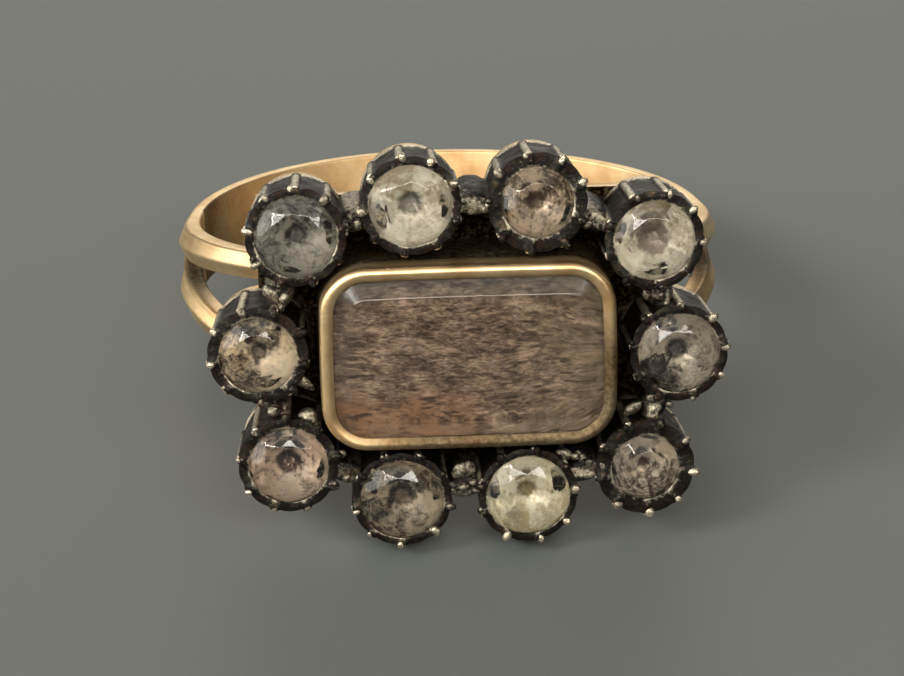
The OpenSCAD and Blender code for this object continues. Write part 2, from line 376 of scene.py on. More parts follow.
def silver_material():
    """Silver blackened by age: a dark sulphide skin, in places browner, greener or crusted, rubbed
    through to bright grey silver on ribs, grains and rims."""
    material, tree, shader = new_material("blackened_silver")
    place = add_node(tree, "TexCoord", "Object")
    wear = add_node(tree, "Attribute", "Fac", attribute_name="wear")
    patch = add_node(
        tree, "TexNoise", "Fac", {"Vector": place, "Scale": per_mm(0.7), "Detail": 5.0, "Roughness": 0.65}
    )
    grit = add_node(
        tree, "TexNoise", "Fac", {"Vector": place, "Scale": per_mm(0.13), "Detail": 5.0, "Roughness": 0.7}
    )
    skin = add_node(
        tree,
        "ValToRGB",
        "Color",
        {"Fac": patch},
        stops=[
            (0.3, "#120e0e"),
            (0.42, "#2c231b"),
            (0.5, "#1e191a"),
            (0.58, "#282a23"),
            (0.66, "#463a2d"),
            (0.76, "#6e604a"),
        ],
    )
    # The wear shows where the grit stands proud, so its edge is broken
    broken = add_node(tree, "Math", "Value", {0: grit, 1: 1.2, 2: wear}, operation="MULTIPLY_ADD")
    bare = add_node(tree, "MapRange", "Result", {"Value": broken, "From Min": 0.8, "From Max": 1.3})
    colour = add_node(
        tree, "Mix", "Result", {"Factor": bare, "A": skin, "B": linear("#d3c8b0")}, data_type="RGBA"
    )
    tree.links.new(colour, shader.inputs["Base Color"])
    crusted = add_node(
        tree,
        "MapRange",
        "Result",
        {"Value": patch, "From Min": 0.35, "From Max": 0.65, "To Min": 0.58, "To Max": 0.3},
    )
    rough = add_node(
        tree, "Math", "Value", {0: bare, 1: -0.2, 2: crusted}, operation="MULTIPLY_ADD", use_clamp=True
    )
    tree.links.new(rough, shader.inputs["Roughness"])
    relief = add_node(tree, "Math", "Value", {0: patch, 1: 2.5, 2: grit}, operation="MULTIPLY_ADD")
    bump = add_node(tree, "Bump", "Normal", {"Height": relief, "Strength": 0.9, "Distance": 0.045 * MM})
    tree.links.new(bump, shader.inputs["Normal"])
    shader.inputs["Metallic"].default_value = 0.9
    return material


def paste_material():
    """Lead-glass paste, cut and polished two hundred years ago: clear, brilliant, its facets slightly
    scratched and rubbed."""
    material, tree, shader = new_material("cut_paste")
    place = add_node(tree, "TexCoord", "Object")
    rub = add_node(
        tree, "TexNoise", "Fac", {"Vector": place, "Scale": per_mm(0.35), "Detail": 6.0, "Roughness": 0.7}
    )
    rough = add_node(
        tree,
        "MapRange",
        "Result",
        {"Value": rub, "From Min": 0.4, "From Max": 0.7, "To Min": 0.04, "To Max": 0.14},
    )
    tree.links.new(rough, shader.inputs["Roughness"])
    bump = add_node(tree, "Bump", "Normal", {"Height": rub, "Strength": 0.3, "Distance": 0.02 * MM})
    tree.links.new(bump, shader.inputs["Normal"])
    shader.inputs["Base Color"].default_value = linear("#fbf6ee")
    shader.inputs["Transmission Weight"].default_value = 1.0
    shader.inputs["IOR"].default_value = 1.58
    return material


def foil_material(name, bright, dull, culet, dot):
    """Crinkled silvered foil that lies close behind a stone, bright where it is sound and stained where
    damp crept in, with the dark dot that was painted at the culet. Its facet attribute brings each
    facet's own tone and a painted highlight on one side of the stone."""
    material, tree, shader = new_material(name)
    place = add_node(tree, "TexCoord", "Object")
    reach = add_node(tree, "Attribute", "Fac", attribute_name="reach")
    facet = add_node(tree, "Attribute", "Fac", attribute_name="facet")
    cloud = add_node(
        tree,
        "TexNoise",
        "Fac",
        {"Vector": place, "Scale": per_mm(0.3), "Detail": 6.0, "Roughness": 0.78, "Distortion": 0.3},
    )
    # The facet attribute holds each facet's own tone and a painted highlight on one side of the stone
    mottle_and_highlight = add_node(tree, "Math", "Value", {0: facet, 1: 0.1, 2: cloud}, operation="MULTIPLY_ADD")
    tone = add_node(tree, "ValToRGB", "Color", {"Fac": mottle_and_highlight}, stops=[(0.37, dull), (0.58, bright)])
    # The dot at the culet ends in a ragged edge, and a stain rings the girdle
    ragged = add_node(tree, "Math", "Value", {0: cloud, 1: 0.3, 2: reach}, operation="MULTIPLY_ADD")
    inside = add_node(
        tree,
        "MapRange",
        "Result",
        {"Value": ragged, "From Min": dot, "From Max": dot + 0.1, "To Min": 0.9, "To Max": 0.0},
    )
    edge = add_node(
        tree, "MapRange", "Result", {"Value": ragged, "From Min": 1.02, "From Max": 1.2, "To Max": 0.7}
    )
    dotted = add_node(
        tree, "Mix", "Result", {"Factor": inside, "A": tone, "B": linear(culet)}, data_type="RGBA"
    )
    ringed = add_node(
        tree, "Mix", "Result", {"Factor": edge, "A": dotted, "B": linear("#3a2c22")}, data_type="RGBA"
    )
    tree.links.new(ringed, shader.inputs["Base Color"])
    rough = add_node(
        tree,
        "MapRange",
        "Result",
        {"Value": cloud, "From Min": 0.4, "From Max": 0.6, "To Min": 0.5, "To Max": 0.28},
    )
    tree.links.new(rough, shader.inputs["Roughness"])
    crinkle = add_node(
        tree, "TexNoise", "Fac", {"Vector": place, "Scale": per_mm(0.28), "Detail": 4.0, "Roughness": 0.6}
    )
    bump = add_node(tree, "Bump", "Normal", {"Height": crinkle, "Strength": 0.8, "Distance": 0.08 * MM})
    tree.links.new(bump, shader.inputs["Normal"])
    shader.inputs["Metallic"].default_value = 0.8
    return material


def crystal_material():
    """A rock-crystal or glass cover, cut and polished, clear with the lightest veil of wear, which is
    heavier on its bevel."""
    material, tree, shader = new_material("polished_crystal")
    place = add_node(tree, "TexCoord", "Object")
    worn = add_node(tree, "Attribute", "Fac", attribute_name="worn")
    haze = add_node(
        tree, "TexNoise", "Fac", {"Vector": place, "Scale": per_mm(0.5), "Detail": 6.0, "Roughness": 0.75}
    )
    rough = add_node(
        tree,
        "MapRange",
        "Result",
        {"Value": haze, "From Min": 0.45, "From Max": 0.75, "To Min": 0.04, "To Max": 0.06},
    )
    rougher = add_node(tree, "Math", "Value", {0: worn, 1: 0.14, 2: rough}, operation="MULTIPLY_ADD")
    tree.links.new(rougher, shader.inputs["Roughness"])
    shader.inputs["Base Color"].default_value = linear("#f8f0e6")
    shader.inputs["Transmission Weight"].default_value = 1.0
    shader.inputs["IOR"].default_value = 1.5
    return material


def hair_material():
    """Brown hair going grey, laid in flat locks and gummed down: fine streaks along the lay, faded
    patches, and a foxed orange corner."""
    material, tree, shader = new_material("laid_hair")
    lay = add_node(tree, "UVMap", "UV", uv_map="lay")
    fox = add_node(tree, "Attribute", "Fac", attribute_name="fox")
    fade = add_node(tree, "Attribute", "Fac", attribute_name="fade")
    # One unit of the lay is a millimetre. Hairs of 0.07 mm are drawn about 0.1 mm wide and short, as
    # each one dips in and out of sight
    strand_lay = add_node(tree, "Mapping", "Vector", {"Vector": lay, "Scale": (3.2, 9.0, 1.0)})
    strand = add_node(
        tree,
        "TexNoise",
        "Fac",
        {"Vector": strand_lay, "Scale": 1.0, "Detail": 5.0, "Roughness": 0.7, "Distortion": 0.8},
    )
    lock_lay = add_node(tree, "Mapping", "Vector", {"Vector": lay, "Scale": (0.8, 2.0, 1.0)})
    lock = add_node(
        tree,
        "TexNoise",
        "Fac",
        {"Vector": lock_lay, "Scale": 1.0, "Detail": 5.0, "Roughness": 0.65, "Distortion": 0.5},
    )
    lock_share = add_node(tree, "Math", "Value", {0: lock, 1: 0.7}, operation="MULTIPLY")
    mixed = add_node(tree, "Math", "Value", {0: strand, 1: 0.9, 2: lock_share}, operation="MULTIPLY_ADD")
    brown = add_node(
        tree,
        "ValToRGB",
        "Color",
        {"Fac": mixed},
        stops=[(0.62, "#372c25"), (0.74, "#655850"), (0.84, "#897b70"), (0.97, "#beae9e")],
    )
    grey = add_node(
        tree, "Mix", "Result", {"Factor": fade, "A": brown, "B": linear("#76705f")}, data_type="RGBA"
    )
    blotch = add_node(
        tree, "MapRange", "Result", {"Value": mixed, "From Min": 0.66, "From Max": 0.86, "To Min": 0.2}
    )
    fox_share = add_node(tree, "Math", "Value", {0: fox, 1: blotch}, operation="MULTIPLY")
    foxed = add_node(
        tree, "Mix", "Result", {"Factor": fox_share, "A": grey, "B": linear("#95704f")}, data_type="RGBA"
    )
    # Dark dashes where the strands part
    dash_lay = add_node(
        tree, "Mapping", "Vector", {"Vector": lay, "Scale": (1.1, 4.4, 1.0), "Location": (7.0, 3.0, 0.0)}
    )
    dash = add_node(
        tree, "TexNoise", "Fac", {"Vector": dash_lay, "Scale": 1.0, "Detail": 3.0, "Roughness": 0.55}
    )
    parted = add_node(
        tree, "MapRange", "Result", {"Value": dash, "From Min": 0.57, "From Max": 0.65, "To Max": 0.75}
    )
    dashed = add_node(
        tree, "Mix", "Result", {"Factor": parted, "A": foxed, "B": linear("#2b1d14")}, data_type="RGBA"
    )
    tree.links.new(dashed, shader.inputs["Base Color"])
    bump = add_node(tree, "Bump", "Normal", {"Height": mixed, "Strength": 0.6, "Distance": 0.05 * MM})
    tree.links.new(bump, shader.inputs["Normal"])
    shader.inputs["Roughness"].default_value = 0.5
    shader.inputs["Specular IOR Level"].default_value = 0.1
    return material


GOLD = gold_material()
SILVER = silver_material()
PASTE = paste_material()
CRYSTAL = crystal_material()
HAIR = hair_material()


# The gold hoop, its shoulders and the back plate


def band_height(z):
    """Thickness of the band at a height z from the middle of its width: an arch between its edges."""
    edge_z = BAND_W / 2 - BAND_EDGE_T / 2
    return BAND_EDGE_T + (BAND_T - BAND_EDGE_T) * (1 - np.clip(np.abs(z) / edge_z, 0, 1) ** 2)


def strip_section(low, high, height, low_r, high_r, steps=18):
    """The closed section of a strip of metal between z = low and high, as z and thickness: an outer
    side that follows height(z), rounded into both edges, and a flat inner side."""
    quarter = np.linspace(0, np.pi / 2, 5)
    across = np.linspace(0, 1, steps)
    inner_r = 0.08
    low_z, high_z = low + low_r, high - high_r
    outer_z = low_z + (high_z - low_z) * across
    low_top = height(low_z) - low_r
    high_top = height(high_z) - high_r
    z = [
        low_z - low_r * np.cos(quarter),
        outer_z,
        high_z + high_r * np.sin(quarter),
        high - inner_r + inner_r * np.cos(quarter),
        low + inner_r - inner_r * np.sin(quarter),
    ]
    thick = [
        low_top + low_r * np.sin(quarter),
        height(outer_z),
        high_top + high_r * np.cos(quarter),
        inner_r - inner_r * np.sin(quarter) + 0 * high_z,
        inner_r - inner_r * np.cos(quarter) + 0 * low_z,
    ]
    return np.concatenate(z, axis=-1), np.concatenate(thick, axis=-1)


def capped(grid):
    """The grid with each end closed by a row at its middle."""
    middle = grid.mean(axis=1, keepdims=True) + 0 * grid
    return np.concatenate([middle[:1], grid, middle[-1:]])


def hoop():
    """The band's section carried round the back of the hoop, from one groove's start to the other,
    slightly uneven as hand-filed metal is. Also which points are inside it."""
    angle = np.radians(np.linspace(-GROOVE_AT, GROOVE_AT, 241))[:, None]
    half = np.full_like(angle, BAND_W / 2)
    edge_r = 0.18
    z, thick = strip_section(-half, half, band_height, edge_r, edge_r, steps=30)
    fade = np.cos(angle * 90 / GROOVE_AT)
    thick = thick * (1 + 0.03 * waves(angle * 3, 1.7, 3) * fade)
    radius = BORE_R + thick
    return in_hoop(-radius * np.sin(angle), radius * np.cos(angle), z), (thick < 0.05) + 0 * z


def branch(side, half):
    """One branch of a shoulder. side is 1 on the left and -1 on the right, half is 1 above the middle
    of the band and -1 below it. It begins as half of the band, which turns into a ridged strip as its
    middle moves away along a screw line, and ends in a wedge where it leaves the bore. Also its
    painted shade, with some brown deposits: darkest in the crotch, some on its inside, and more
    towards the head."""
    angle_deg = np.linspace(GROOVE_AT, BRANCH_END_AT, 120)[:, None]
    angle = np.radians(angle_deg)
    ridge_z = (BAND_W - BRANCH_W) / 2
    width = BRANCH_W - (BRANCH_W - BRANCH_END_W) * smooth(angle_deg, SPLIT_AT, SPLIT_AT + 40)
    turned = smooth(angle_deg, GROOVE_AT, SPLIT_AT + 4)
    past = angle_deg - SPLIT_AT
    soft = np.radians((past + np.sqrt(past**2 + 25)) / 2) * smooth(angle_deg, GROOVE_AT, SPLIT_AT)
    lean = np.sin(np.radians(BRANCH_SLOPE))
    centre = ridge_z + (BORE_R + 0.5) * lean * np.sin(soft)
    slope = np.arctan(np.gradient(centre[:, 0], angle[:, 0]) / (BORE_R + 0.5))[:, None]

    def height(z):
        share = (z - ridge_z) / (width / 2)
        roof = 1 - (np.sqrt(share**2 + 0.012) - 0.11)
        ridged = BRANCH_EDGE_T + (BRANCH_RIDGE_T - BRANCH_EDGE_T) * np.clip(roof, 0, 1.1)
        return band_height(z) * (1 - turned) + ridged * turned

    low = (ridge_z - width / 2) * turned
    high = BAND_W / 2 * (1 - turned) + (ridge_z + width / 2) * turned
    z, thick = strip_section(low, high, height, 0.02 + 0.14 * turned, 0.18 + 0 * turned)
    # The tilted ring comes a little nearer to the finger, and past the bore its inside is a plane
    dip = np.sqrt(1 - (np.sin(np.maximum(soft, 0)) * lean) ** 2)
    outer = (BORE_R + thick) * dip
    leave = np.radians(np.maximum(angle_deg - BRANCH_OFF_AT, 0))
    inner = BORE_R / np.cos(leave)
    lining = np.maximum(BORE_R, inner) + thick
    radius = np.where(thick < 0.08, lining, np.maximum(outer, inner + 0.02))
    across = z - ridge_z
    around = angle - across * np.sin(slope) / BORE_R
    up = half * (centre + across * np.cos(slope))
    # Painted shade, with some brown deposits: darkest in the crotch where the branches part, some on the
    # inside, and more towards the head
    crotch = np.exp(-(((angle_deg - SPLIT_AT - 4) / 14) ** 2)) * smooth(-across, 0.2, 0.6)
    inside = (thick < 0.05) + 0 * across
    grime = np.clip(0.9 * crotch + 0.25 * inside + 0.35 * smooth(angle_deg, 150, 160), 0, 1)
    return in_hoop(-side * radius * np.sin(around), radius * np.cos(around), up), grime


shells = Shells()
points, inside = hoop()
inside = np.pad(inside, ((1, 1), (0, 0)), mode="edge")
back_share = np.cos(np.radians(np.linspace(-GROOVE_AT, GROOVE_AT, len(inside))))[:, None] ** 2
# Painted shade: the inside of the hoop darkens away from the back, towards its sides
inner_grime = inside * (0.8 - 0.78 * smooth(back_share, 0.0, 0.45))
shells.add(capped(points), grime=inner_grime, satin=inside * back_share)
shells.make("hoop", [GOLD], "gold", "shank")
for side, side_name in ((1, "left"), (-1, "right")):
    for half, half_name in ((1, "upper"), (-1, "lower")):
        shells = Shells()
        points, grime = branch(side, half)
        shells.add(capped(points), grime=np.pad(grime, ((1, 1), (0, 0)), mode="edge"))
        shells.make(f"{side_name}_{half_name}_shoulder", [GOLD], "gold", "shank")


def plate_reach(turn):
    """The back plate's edge as a distance from the middle at each turn: the furthest point on the ray
    that lies on a circle at the foot of a collet."""
    edge = FOOT_REACH - PLATE_INSET
    ray = np.stack([np.cos(turn), np.sin(turn)])
    best = np.zeros_like(turn)
    for seat in SEATS:
        foot = foot_place(seat)
        along = foot @ ray
        inside = edge**2 - (foot @ foot - along**2)
        best = np.maximum(best, np.where(inside > 0, along + np.sqrt(np.maximum(inside, 0)), 0))
    across, along = np.maximum(np.abs(ray), 1e-9)
    plain = np.minimum((SEAT_X - FOOT_SHIFT) / across, SEAT_Y * 0.94 / along)
    return np.maximum(best, plain)


def back_plate():
    """The scalloped plate: its edge carried from the middle of its back, round a softened rim, to the
    middle of its front."""
    turn = np.linspace(0, TAU, 720, endpoint=False)[None, :]
    rim = np.radians(np.linspace(-90, 90, 9))
    rim_r = 0.1
    inset = np.concatenate([np.full(6, rim_r), rim_r - rim_r * np.cos(rim), np.full(6, rim_r)])[:, None]
    share = np.concatenate([np.linspace(0, 1, 7)[:-1], np.ones(9), np.linspace(1, 0, 7)[1:]])[:, None]
    low, high = rim_r - PLATE_T, -rim_r
    z = np.concatenate(
        [np.full(6, -PLATE_T), np.where(rim < 0, low, high) + rim_r * np.sin(rim), np.zeros(6)]
    )[:, None]
    reach = (plate_reach(turn[0])[None, :] - inset) * share
    # Painted shade: the plate's front, which shows only in the gaps between the collets and the locket, is
    # made near black
    grime = 0.05 + 1.1 * (z > -0.1) + 0 * reach
    return in_head(reach * np.cos(turn), reach * np.sin(turn), z + 0 * reach), grime


shells = Shells()
points, grime = back_plate()
shells.add(points, grime=np.clip(grime, 0, 1))
shells.make("back_plate", [GOLD], "gold", "shank")


# The silver collets, webs and pellets

COLLET_STEPS = 216


def ribs(turn, first):
    """1 on the crest of each rib, falling to 0 at its sides, and the same for the dished panels
    between them."""
    pitch = TAU / RIB_COUNT
    off = (turn - np.radians(first) + pitch / 2) % pitch - pitch / 2
    crest = np.sqrt(np.clip(1 - (off * COLLET_R / (RIB_R * 1.05)) ** 2, 0, 1))
    panel = np.sin(np.clip(np.abs(off) / (pitch / 2), 0, 1) * np.pi / 2) ** 2
    return crest, panel


def collet(seat, seed):
    """One collet as a closed turned shell: a bright roll at the foot, a tapered wall with dished
    panels between its ribs, a front edge that dips between them, and the cup under the stone."""
    turn = np.linspace(0, TAU, COLLET_STEPS, endpoint=False)[None, :]
    crest, panel = ribs(turn, seat[3])
    stone_r = seat[2] * STONE_D / 2
    uneven = 1 + 0.012 * waves(turn * 2, 1.0, seed, 3)

    wall_z = -COLLET_H * (1 - np.linspace(0, 1, 34)[:, None])
    share = 1 + wall_z / COLLET_H
    foot_roll = FOOT_ROLL * np.exp(-(((wall_z + COLLET_H - 0.07) / 0.09) ** 2))
    dished = PANEL_DISH * panel * np.sin(np.pi * np.clip(share * 1.15, 0, 1)) ** 0.7
    dip = -FRONT_DIP * panel
    front_dip = dip * smooth(share, 0.7, 1)
    wall_r = COLLET_FOOT_R + (COLLET_R - COLLET_FOOT_R) * share + foot_roll - dished - front_dip
    wall_r = (wall_r + RIB_RISE * crest * smooth(share, 0.02, 0.08)) * uneven

    lip = np.linspace(0, 1, 6)[1:, None]
    lip_r = wall_r[-1:] * (1 - lip) + (stone_r - 0.02) * lip
    lip_z = dip * (1 - 0.55 * lip) + 0.05 * np.sin(np.pi * lip) * (0.4 + crest)
    seat_r = np.array([1.0, 1.0, 0.62, 0.62, 0.0])[:, None] * (stone_r + STONE_GAP) + 0 * turn
    seat_z = np.array([-0.1, -0.2, -0.68, CUP_FLOOR - COLLET_H, CUP_FLOOR - COLLET_H])[:, None] + 0 * turn
    base_r = np.array([0.0, 0.7])[:, None] * wall_r[:1]
    base_z = np.full_like(base_r, -COLLET_H)

    radius = np.concatenate([base_r, wall_r, lip_r, seat_r])
    z = np.concatenate([base_z, wall_z + front_dip, lip_z, seat_z])
    foot_wear = 0.9 * np.exp(-(((wall_z + COLLET_H - 0.1) / 0.1) ** 2))
    wall_wear = np.maximum(foot_wear, 0.75 * crest**2 * smooth(share, 0.0, 0.3) + 0 * share)
    lip_wear = 0.05 + 0.08 * crest + 0.3 * smooth(lip, 0.7, 1.0) * (1 + waves(turn * 3, 1.8, seed + 70))
    wear = np.concatenate([0 * base_r, wall_wear, lip_wear, 0 * seat_r])
    return in_collet(seat, radius, turn, z), wear


def grain(seat, turn, seed):
    """The bead at the tip of a rib: a ball, drawn out a little along the rib and rubbed flatter on
    its front."""
    rng = np.random.default_rng(seed)
    size = GRAIN_R * rng.uniform(0.6, 1.12)
    up = np.linspace(-np.pi / 2, np.pi / 2, 11)[:, None]
    around = np.linspace(0, TAU, 16, endpoint=False)[None, :]
    x = size * np.cos(up) * np.cos(around) * rng.uniform(1.0, 1.4)
    y = size * np.cos(up) * np.sin(around) * rng.uniform(0.8, 1.0)
    z = size * np.sin(up) * 0.95 + 0 * around
    z = np.where(z > 0.7 * size, 0.7 * size + 0.5 * (z - 0.7 * size), z) + rng.uniform(-0.06, 0.04)
    middle = COLLET_R + RIB_R - GRAIN_R + rng.uniform(-0.06, 0.04)
    radius = np.hypot(middle + x, y)
    angle = turn + np.arctan2(y, middle + x)
    # Points behind the wall's front still follow the tilted ring there
    return in_collet(seat, radius, angle, z + 0 * x)


for i, seat in enumerate(SEATS):
    shells = Shells()
    points, wear = collet(seat, 11 + i)
    shells.add(points, wear=wear)
    jitter = np.random.default_rng(40 + i).uniform(-5, 5, RIB_COUNT)
    for k in range(RIB_COUNT):
        turn = np.radians(seat[3] + 360 / RIB_COUNT * k + jitter[k])
        facing = np.cos(turn - np.arctan2(seat[1], seat[0]))
        rubbed = 0.3 + 0.33 * facing + 0.015 * jitter[k]
        shells.add(grain(seat, turn, 100 + 20 * i + k), wear=rubbed)
    shells.make(f"collet_{i + 1:02d}", [SILVER], "oxidised_silver", "cluster_setting")


def web(a, b, seed):
    """The saddle between two collets: a bar from foot to foot, highest at its ends, dished along its
    top between two rolled edges."""
    start, end = foot_place(a), foot_place(b)
    step = end - start
    length = np.hypot(*step)
    along = np.linspace(0.2, 0.8, 28)[:, None]
    turn = np.linspace(0, TAU, 40, endpoint=False)[None, :]
    sag = (2 * along - 1) ** 2
    post = np.exp(-(((along - 0.5) * length / 0.36) ** 4))
    half = WEB_HALF_W * (1 + 0.6 * sag + 0.5 * post)
    top = FRONT_Z - WEB_DROP - 0.02 + 0.9 * sag + 0.06 * waves(along * 14, 1.7, seed + 50, 3)
    # A rounded box: the section's corners come from the fourth power of its circle
    cos, sin = np.cos(turn), np.sin(turn)
    square = (cos**4 + sin**4) ** -0.25
    across = half * cos * square
    height = np.where(sin > 0, top, 0) * np.abs(sin * square) ** 0.9
    dish = 0.08 * np.clip(1 - (across / half) ** 2, 0, 1) * (sin > 0.3)
    height = height - dish + 0.05 * waves(along * 12 + across * 5, 1.6, seed)
    side = np.array([-step[1], step[0]]) / length
    x = start[0] + along * step[0] + across * side[0]
    y = start[1] + along * step[1] + across * side[1]
    rolled = np.exp(-(((np.abs(across / half) - 0.93) / 0.09) ** 2)) * (height > top - 0.3)
    wear = 0.25 + 0.3 * waves(along * 10 + across * 7, 1.7, seed + 90) + 0.5 * rolled
    return in_head(x, y, SEAM + np.maximum(height, 0)), np.pad(wear, ((1, 1), (0, 0)), mode="edge")


# Small pellets and leaves soldered between the collets: x, y, half length, half width, turn, height
PELLETS = [
    (-3.5, 4.3, 0.2, 0.17, 60, 2.15),
    (-3.95, 3.98, 0.16, 0.12, 10, 2.05),
    (-0.2, 4.67, 0.16, 0.12, 0, 2.1),
    (0.24, 4.6, 0.2, 0.1, 0, 2.05),
    (0.66, 4.67, 0.15, 0.12, 0, 2.1),
    (4.0, 4.05, 0.18, 0.13, 20, 2.1),
    (6.34, 1.7, 0.3, 0.17, 80, 2.2),
    (5.9, 1.62, 0.2, 0.14, 110, 2.1),
    (6.1, -1.95, 0.22, 0.18, 0, 2.15),
    (6.66, -2.18, 0.14, 0.13, 0, 2.15),
    (5.46, -2.28, 0.36, 0.2, 35, 2.1),
    (3.52, -3.9, 0.18, 0.15, 0, 2.1),
    (3.98, -4.15, 0.16, 0.13, 30, 2.1),
    (-0.2, -4.85, 0.22, 0.11, 5, 2.1),
    (0.14, -4.7, 0.14, 0.11, 0, 2.1),
    (-4.18, -3.5, 0.15, 0.14, 0, 2.15),
    (-4.08, -4.4, 0.16, 0.14, 0, 2.1),
    (-6.4, -1.95, 0.22, 0.18, 20, 2.2),
    (-5.3, -2.37, 0.48, 0.4, 48, 2.1),
    (-0.32, -4.35, 0.34, 0.24, 70, 1.85),
    (0.02, -4.28, 0.3, 0.2, 100, 1.8),
    (3.2, -3.85, 0.36, 0.2, -20, 2.0),
    (3.75, -4.0, 0.3, 0.18, -50, 1.95),
    (4.2, -4.3, 0.36, 0.2, -15, 1.95),
    (-3.2, -3.95, 0.26, 0.2, 30, 2.5),
    (-2.55, -3.62, 0.3, 0.17, 5, 2.5),
    (-1.7, -3.62, 0.26, 0.16, -20, 2.5),
    (4.75, -3.35, 0.3, 0.2, 40, 2.5),
    (4.4, -4.1, 0.26, 0.24, 80, 2.5),
    (5.6, -2.85, 0.34, 0.18, 10, 2.5),
    (-4.93, -2.78, 0.24, 0.1, 10, 2.1),
    (-5.95, 1.9, 0.2, 0.17, 60, 2.2),
    (-6.3, 1.95, 0.42, 0.24, -50, 1.95),
    (-6.3, 1.3, 0.26, 0.1, 70, 2.1),
    (-5.35, -1.0, 0.42, 0.17, -38, 2.2),
]


def pellet(x, y, half_length, half_width, turn_deg, height, seed):
    """A bead of metal: an oval ball, pinched towards one end so that a long one is a leaf."""
    up = np.linspace(-np.pi / 2, np.pi / 2, 13)[:, None]
    around = np.linspace(0, TAU, 24, endpoint=False)[None, :]
    long = np.cos(around) * np.cos(up)
    pinch = 1 - 0.3 * long * smooth(half_length / half_width, 1.2, 2.0)
    u = half_length * long
    v = half_width * np.sin(around) * np.cos(up) * pinch
    dented = 0.12 * waves(long * 5 + around, 1.7, seed) * np.cos(up)
    w = half_width * (0.7 * np.sin(up) * pinch + dented)
    turn = np.radians(turn_deg)
    lumpy = 1 + 0.16 * waves(around * 2 + up, 1.6, seed) * np.cos(up)
    u, v = u * lumpy, v * lumpy
    x = x + u * np.cos(turn) - v * np.sin(turn)
    y = y + u * np.sin(turn) + v * np.cos(turn)
    return in_head(x, y, height + w)


shells = Shells()
for i, seat in enumerate(SEATS):
    points, wear = web(seat, SEATS[(i + 1) % len(SEATS)], 60 + i)
    shells.add(capped(points), wear=wear)
shells.make("webs", [SILVER], "oxidised_silver", "cluster_setting")
shells = Shells()
for i, row in enumerate(PELLETS):
    shells.add(pellet(*row, 80 + i), wear=0.36)
shells.make("pellets", [SILVER], "oxidised_silver", "cluster_setting")


# Stones and foils

# Each foil: where it is still bright, where it is stained, the dot at the culet, the dot's reach, and the
# turn of the side that gets a painted highlight
FOILS = [
    ("#c6c4bc", "#36322f", "#302b2a", 0.34, -30),
    ("#fffef8", "#cdc2ac", "#74716a", 0.38, -100),
    ("#ecdfcd", "#564a3f", "#5f5248", 0.38, 200),
    ("#fffef4", "#b8aa90", "#91857f", 0.52, 215),
    ("#dcd5c8", "#322c28", "#26201d", 0.36, 60),
    ("#f0e6d8", "#43382e", "#443326", 0.28, 60),
    ("#fffef2", "#c8bb98", "#7c6b44", 0.32, 140),
    ("#dcd1bd", "#382f2a", "#331f17", 0.42, -20),
    ("#e2d2c2", "#3c2e27", "#3c261f", 0.42, -30),
    ("#f4e8d2", "#43372d", "#3c2f24", 0.34, 0),
]


def in_seat(seat, x, y, z):
    """Points of a seat's frame, in the ring's frame."""
    away = outward(seat)
    tilt = np.radians(COLLET_TILT)
    along = x * away[0] + y * away[1]
    aside = y * away[0] - x * away[1]
    reach = along * np.cos(tilt) + z * np.sin(tilt)
    place = seat_place(seat)
    head_x = place[0] + reach * away[0] - aside * away[1]
    head_y = place[1] + reach * away[1] + aside * away[0]
    return in_head(head_x, head_y, FRONT_Z - along * np.sin(tilt) + z * np.cos(tilt))


def facets(stone_r, first):
    """The planes of an old round cut, as unit normals and distances from the middle of the girdle:
    table, eight kites, eight stars, sixteen upper and sixteen lower facets, eight pavilion facets and
    a culet. Each plane leans by an angle and passes through a point at a radius and a height."""
    table_r = TABLE_SHARE * stone_r
    rings = [
        # count, turn in steps, lean, radius, height
        (8, 0.0, 41, 0.985 * stone_r, 0.0),
        (8, 0.5, 25, 0.94 * table_r, CROWN_H),
        (16, 0.5, 50, 0.995 * stone_r, 0.0),
        (16, 0.5, 134, stone_r, -GIRDLE_T),
        (8, 0.5, 140, 0.985 * stone_r, -GIRDLE_T),
        (8, 0.0, 146, CULET_SHARE * stone_r, -GIRDLE_T - PAVILION_H),
    ]
    normals, distances = [[0, 0, 1], [0, 0, -1]], [CROWN_H, GIRDLE_T + PAVILION_H]
    for count, step, lean_deg, radius, height in rings:
        lean = np.radians(lean_deg)
        for k in range(count):
            turn = np.radians(first) + TAU * (k + step) / count
            normals.append([np.sin(lean) * np.cos(turn), np.sin(lean) * np.sin(turn), np.cos(lean)])
            distances.append(radius * np.sin(lean) + height * np.cos(lean))
    return np.array(normals, dtype=float), np.array(distances, dtype=float)


